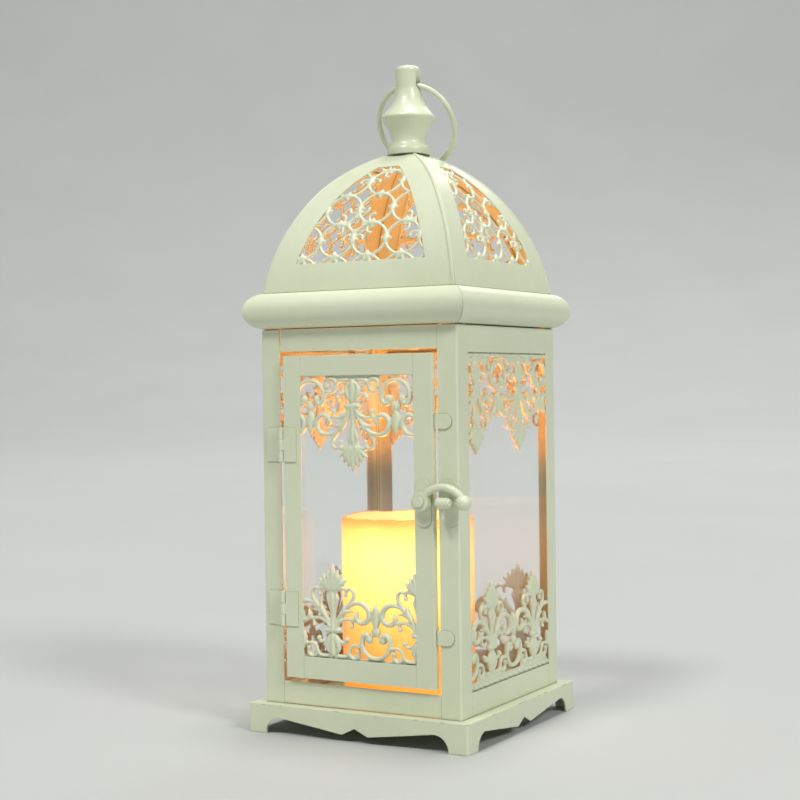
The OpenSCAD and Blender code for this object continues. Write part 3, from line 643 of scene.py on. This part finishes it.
LOW_CENTRE, LOW_R = Vector((-59.4, 226.7)), 120.3
HIGH_R, JOIN = 74.3, math.radians(33.75)
HIGH_CENTRE = LOW_CENTRE + (LOW_R - HIGH_R) * Vector((math.cos(JOIN), math.sin(JOIN)))
DOME_START, DOME_END = 242.0, 319.6
WINDOW_LOW, WINDOW_HIGH = 257.4, 311.8
RIB = 16.6
START_ANGLE = math.asin((DOME_START - LOW_CENTRE.y) / LOW_R)
JOIN_S = LOW_R * (JOIN - START_ANGLE)


def arc_at_height(z):
    """Distance along the dome's curve from its foot to height z."""
    low_angle = math.asin(max(-1, min(1, (z - LOW_CENTRE.y) / LOW_R)))
    if low_angle <= JOIN:
        return LOW_R * (low_angle - START_ANGLE)
    return JOIN_S + HIGH_R * (math.asin((z - HIGH_CENTRE.y) / HIGH_R) - JOIN)


def dome_point(x, s, depth=0.0):
    """Point of the front panel at x and distance s up the curve, depth below its face, in mm."""
    if s < JOIN_S:
        angle, centre, radius = START_ANGLE + s / LOW_R, LOW_CENTRE, LOW_R
    else:
        angle, centre, radius = JOIN + (s - JOIN_S) / HIGH_R, HIGH_CENTRE, HIGH_R
    w, z = centre + (radius - depth) * Vector((math.cos(angle), math.sin(angle)))
    return Vector((x, -w, z))


def dome_half(s):
    """Half width of the panel at distance s up the curve."""
    return -dome_point(0, s).y


LAP_W, LAP_H = 1.7, 0.42
LAP_STEP = 0.12
SEAM_GAP, SEAM_SPLAY, SEAM_LENGTH = 0.08, 0.32, 34


def make_dome_panel(side, material):
    """Smooth curved panel with its window cut out and one lapped edge. The seams open towards the band."""
    s_low, s_high, s_end = arc_at_height(WINDOW_LOW), arc_at_height(WINDOW_HIGH), arc_at_height(DOME_END)
    rows = [s_low * i / 6 for i in range(6)]
    rows += [s_low + (s_high - s_low) * i / 44 for i in range(45)]
    rows += [s_high + (s_end - s_high) * i / 8 for i in range(1, 9)]
    bm = bmesh.new()
    grid = []
    for s in rows:
        outer = dome_half(s) - SEAM_GAP - SEAM_SPLAY * max(0, 1 - s / SEAM_LENGTH) ** 0.6
        inner = max(dome_half(s) - RIB, 1.0)
        strip = [outer + (inner - outer) * i / 4 for i in range(4)]
        middle = [inner * (1 - i / 5) for i in range(5)]
        half = strip + middle
        row = [(-x, 0) for x in half] + [(0, 0)] + [(x, 0) for x in half[:0:-1]]
        row += [(outer - LAP_W - LAP_STEP, 0), (outer - LAP_W, -LAP_H), (outer, -LAP_H)]
        grid.append([bm.verts.new(dome_point(x, s, depth) * MM) for x, depth in row])
    first, last = 4, 14
    for i in range(len(rows) - 1):
        in_window = s_low - 1e-6 <= rows[i] and rows[i + 1] <= s_high + 1e-6
        for j in range(len(grid[0]) - 1):
            if in_window and first <= j < last:
                continue
            bm.faces.new((grid[i][j], grid[i][j + 1], grid[i + 1][j + 1], grid[i + 1][j]))
    bmesh.ops.delete(bm, geom=[v for v in bm.verts if not v.link_faces], context="VERTS")
    bmesh.ops.recalc_face_normals(bm, faces=bm.faces)
    obj = new_object("shell_dome_panel_" + side, bm, material)
    thick = obj.modifiers.new("sheet", "SOLIDIFY")
    thick.thickness = 0.8 * MM
    thick.offset = -1
    round_edges(obj, 0.3)
    turn_to_side(obj, side)
    return finish_piece(obj, "root", "cream_paint", "dome_panel_" + side)


def round_edges(obj, width, segments=2):
    """Eases every edge sharper than 35 degrees by width, in mm."""
    bevel = obj.modifiers.new("round", "BEVEL")
    bevel.width = width * MM
    bevel.segments = segments
    bevel.limit_method = "ANGLE"
    bevel.angle_limit = math.radians(35)
    bevel.use_clamp_overlap = True
    normals = obj.modifiers.new("shade", "WEIGHTED_NORMAL")
    normals.keep_sharp = False


CELL_W, CELL_H = 20.7, 19.3
SMALL_RING_R = 4.3
KNOT_REACH = 3.4
KNOT_SIDE = 2.2
RIM_LAP = 1.4
LATTICE_DEPTH = 1.35


def keep_runs(points, inside):
    """Splits a path into the stretches that lie inside."""
    runs, run = [], []
    for p in points:
        if inside(p):
            run.append(p)
        elif run:
            runs.append(run)
            run = []
    if run:
        runs.append(run)
    return [r for r in runs if len(r) > 2]


def make_lattice(side, column, row, material):
    """Rings side by side in a square pattern, with knots where they touch and curls round each small ring."""
    s_low, s_high = arc_at_height(WINDOW_LOW), arc_at_height(WINDOW_HIGH)
    lap = 1.8
    c = Casting(depth=1.3)

    def inside(p):
        return s_low - lap < p[1] < s_high + lap and abs(p[0]) < dome_half(p[1]) - RIB + lap

    def clipped(points, widths):
        for run in keep_runs([Vector(p) for p in points], inside):
            c.strand(run, widths, mirror=False)

    def knot(x, s, dx, ds):
        if inside((x, s)):
            spine = [(x + t * KNOT_REACH * dx, s + t * KNOT_REACH * ds) for t in (-1, 0, 1)]
            c.strand(spine, [0.8, 1.7, 1.7, 0.8], mirror=False)
            for sign in (-1, 1):
                c.ball((x + sign * KNOT_SIDE * ds, s + sign * KNOT_SIDE * dx), 1.0, mirror=False)

    for k in range(-3, 4):
        for m in range(-1, 5):
            x, s = column + k * CELL_W, row + m * CELL_H
            loop = [(x + CELL_W / 2 * math.cos(a), s + CELL_H / 2 * math.sin(a))
                    for a in (math.radians(6 * i) for i in range(61))]
            clipped(loop, 0.85)
            knot(x + CELL_W / 2, s, 0, 1)
            knot(x, s + CELL_H / 2, 1, 0)
            if (k + m) % 2 == 0 and m % 2 == 0:
                gap = (x - CELL_W / 2, s + CELL_H / 2)
                small = [(gap[0] + SMALL_RING_R * math.cos(a), gap[1] + SMALL_RING_R * math.sin(a))
                         for a in (math.radians(12 * i) for i in range(31))]
                clipped(small, 0.8)
                for px, ps in ((1, 0), (-1, 0), (0, 1), (0, -1)):
                    knot_at = (gap[0] - px * CELL_W / 2, gap[1] - ps * CELL_H / 2)
                    clipped([(knot_at[0] + px * t, knot_at[1] + ps * t) for t in (3, 4.5, 6)], 0.8)
                    for q in (-1, 1):
                        curl = [(knot_at[0] + px * p + ps * q * n, knot_at[1] + ps * p + px * q * n)
                                for p, n in ((1.8, 1.0), (2.6, 2.4), (2.7, 4.2), (1.7, 5.7), (0.1, 5.9))]
                        clipped(curl, [0.65, 0.75, 0.8, 0.95])
    # Balls and stubs along the foot of the window, and a rim behind the panel's edge
    for k in range(-3, 4):
        x = column + k * CELL_W
        foot = row - CELL_H / 2
        if inside((x, foot)):
            c.ball((x, foot + 1.3), 1.2, mirror=False)
            c.strand([(x - 2.6, s_low - 1), (x, foot), (x + 2.6, s_low - 1)], [1.0, 1.5, 1.0], mirror=False)
    rim_rows = [s_low - RIM_LAP + (s_high - s_low + 2 * RIM_LAP) * i / 30 for i in range(31)]
    for sign in (-1, 1):
        c.strand([(sign * (dome_half(s) - RIB + RIM_LAP), s) for s in rim_rows], 0.9, mirror=False)
    for s in (s_low - RIM_LAP, s_high + RIM_LAP):
        reach = dome_half(s) - RIB + RIM_LAP
        c.strand([(-reach, s), (0, s), (reach, s)], 0.9, mirror=False)
    for v in c.bm.verts:
        x, s, h = v.co
        v.co = dome_point(x, s, LATTICE_DEPTH - h) * MM
    obj = fuse("cast_dome_lattice_" + side, c.bm, material)
    turn_to_side(obj, side)
    return finish_piece(obj, "root", "cream_paint", "dome_lattice_" + side)


# ---- Candle ----


def make_candle(wax, dish):
    """Turned wax with a slightly wavy wall, an uneven rim and a melted dish."""
    low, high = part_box("candle_wax")
    centre = Vector(((low.x + high.x) / 2, (low.y + high.y) / 2, low.z))
    radius = (high.x - low.x) / 2 / MM
    height = (high.z - low.z) / MM
    wall = [(radius - 0.8, 0), (radius - 0.25, 0.25), (radius, 0.9)]
    wall += [(radius, 0.9 + (height - 4.4) * i / 24) for i in range(1, 25)]
    rim = [(radius - 0.1, height - 2.4), (radius - 0.4, height - 1.2), (radius - 0.9, height - 0.5),
           (radius - 1.6, height - 0.2), (radius - 2.3, height - 0.5), (radius - 2.9, height - 1.5)]
    pool = [(radius - 3.5, height - 3.2), (radius - 4.6, height - 4.6), (radius - 6.5, height - 5.7),
            (radius - 10, height - 6.4), (radius - 16, height - 6.8), (radius - 24, height - 7.0),
            (3.2, height - 7.2)]
    well = [(3.0, height - 8), (3.0, 46), (5, 42), (8, 36), (8, 20.4), (32.3, 20.4), (32.3, 0)]
    profile = wall + rim + pool + well
    around = 144
    bm = bmesh.new()
    rings = []
    for i in range(around):
        a = 2 * math.pi * i / around
        out = Vector((math.cos(a), math.sin(a), 0))
        ring = []
        for j, (r, z) in enumerate(profile):
            sway = noise.noise(Vector((2.2 * out.x, 2.2 * out.y, z / 40)))
            lift = noise.noise(Vector((3.1 * out.x + 5, 3.1 * out.y, 0.3))) + 0.5 * noise.noise(
                Vector((9 * out.x, 9 * out.y, 2)))
            near_rim = max(0, 1 - abs(z - height) / 9) if j < len(wall + rim + pool) - 2 else 0
            r = r - 0.12 + 0.12 * sway if j < len(wall + rim) else r
            z = z - 0.4 * near_rim + 0.75 * near_rim * lift
            ring.append(bm.verts.new(centre + (out * r + Vector((0, 0, z))) * MM))
        rings.append(ring)
    count = len(profile)
    pool_start = len(wall) + len(rim) - 2
    pool_end = pool_start + len(pool) + 2
    for i in range(around):
        a, b = rings[i], rings[(i + 1) % around]
        for j in range(count):
            k = (j + 1) % count
            face = bm.faces.new((a[j], b[j], b[k], a[k]))
            face.material_index = 1 if pool_start <= j < pool_end else 0
    bmesh.ops.recalc_face_normals(bm, faces=bm.faces)
    obj = new_object("wax_pillar", bm, wax)
    obj.data.materials.append(dish)
    lamp = add_area_light("candle_glow", centre + Vector((0, 0, height + 2)) * MM,
                          centre + Vector((0, 0, 2 * height)) * MM, 50 * MM, 0.17, (1, 0.3, 0.045))
    lamp.data.spread = math.radians(150)
    lamp.visible_camera = False
    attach(lamp, "candle")
    return finish_piece(obj, "candle", "candle_wax", "candle_wax")


# ---- CAD nodes that stay ----


def make_smooth_shading():
    """Modifier nodes that drop a mesh's stored normals and shade it smooth, so that the mesh itself stays."""
    group = bpy.data.node_groups.new("smooth_shading", "GeometryNodeTree")
    for direction in ("INPUT", "OUTPUT"):
        group.interface.new_socket("Geometry", in_out=direction, socket_type="NodeSocketGeometry")
    drop = group.nodes.new("GeometryNodeRemoveAttribute")
    drop.inputs["Name"].default_value = "custom_normal"
    chain = (group.nodes.new("NodeGroupInput"), drop, group.nodes.new("GeometryNodeSetShadeSmooth"),
             group.nodes.new("NodeGroupOutput"))
    for giver, taker in zip(chain, chain[1:]):
        group.links.new(giver.outputs[0], taker.inputs[0])
    return group


def soften(name, material, width, planar=True):
    """Gives a CAD node its material and eases its sharp edges by modifiers only. Its mesh stays as it is."""
    obj = nodes[name]
    slot = obj.material_slots[0]
    slot.link = "OBJECT"
    slot.material = material
    shading = obj.modifiers.new("shading", "NODES")
    shading.node_group = bpy.data.node_groups.get("smooth_shading") or make_smooth_shading()
    weld = obj.modifiers.new("weld", "WELD")
    weld.merge_threshold = 0.002 * MM
    if planar:
        flat = obj.modifiers.new("flat", "DECIMATE")
        flat.decimate_type = "DISSOLVE"
        flat.angle_limit = math.radians(0.4)
    if width:
        round_edges(obj, width)
    else:
        shade = obj.modifiers.new("shade", "WEIGHTED_NORMAL")
        shade.keep_sharp = True


def main():
    """Builds the studio and every visible piece, then dresses the CAD nodes that stay."""
    add_camera()
    add_studio()

    cream, cream_shade = srgb(222, 227, 200), srgb(211, 217, 188)
    # The crease numbers set how much shade is painted into each paint's creases
    sheet_paint = make_paint("cream_sheet_paint", cream, cream_shade, grain=0.8, wear=0.35, crease_shade=0.85)
    base_paint = make_paint("cream_base_paint", cream, cream_shade, grain=0.9, wear=1.0, crease_shade=0.7)
    cast_paint = make_paint("cream_cast_paint", cream, cream_shade, grain=1.2, wear=0.2, crease_shade=0.35,
                            gloss=0.04)
    glass = make_glass()
    wax_low, wax_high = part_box("candle_wax")
    wax_middle = ((wax_low.x + wax_high.x) / 2, (wax_low.y + wax_high.y) / 2)
    wax = make_wax(wax_middle, wax_low.z, wax_high.z - wax_low.z)

    make_all_openwork(cast_paint)
    phases = {"front": (4.0, 28.7), "right": (-1.6, 27.0), "back": (6.5, 28.0), "left": (-7.0, 27.6)}
    for side in SIDES:
        make_dome_panel(side, sheet_paint)
        make_lattice(side, *phases[side], cast_paint)
    make_candle(wax, make_wax_pool())

    soften("base_plinth", base_paint, 0.5)
    for name in nodes:
        if name.startswith(("post_", "roof_", "crown_", "door_st")) or name.endswith("_rail"):
            soften(name, sheet_paint, 0.22)
    for name in ("hinge_post_leaves", "hinge_door_leaves", "hinge_pins", "latch_plate", "latch_keeper",
                 "latch_hook"):
        soften(name, cast_paint, 0.18)
    for name in ("finial", "carry_ring"):
        soften(name, cast_paint, 0)
    for name in ("right_glass", "back_glass", "left_glass", "door_glass"):
        soften(name, glass, 0)
    soften("candle_led", make_led(), 0)
    case_plastic = make_plastic("case_plastic", srgb(232, 230, 222))
    soften("candle_case", case_plastic, 0.3)
    soften("candle_battery_door", case_plastic, 0.2)
    soften("candle_batteries", make_plastic("battery_sleeve", srgb(64, 92, 70), 0.3), 0.3)
    soften("candle_switch", make_plastic("switch_plastic", srgb(52, 52, 54), 0.5), 0.2)
    zinc = make_zinc()
    for name in ("finial_stud", "finial_nut"):
        soften(name, zinc, 0.2)

    make_backdrop()


main()
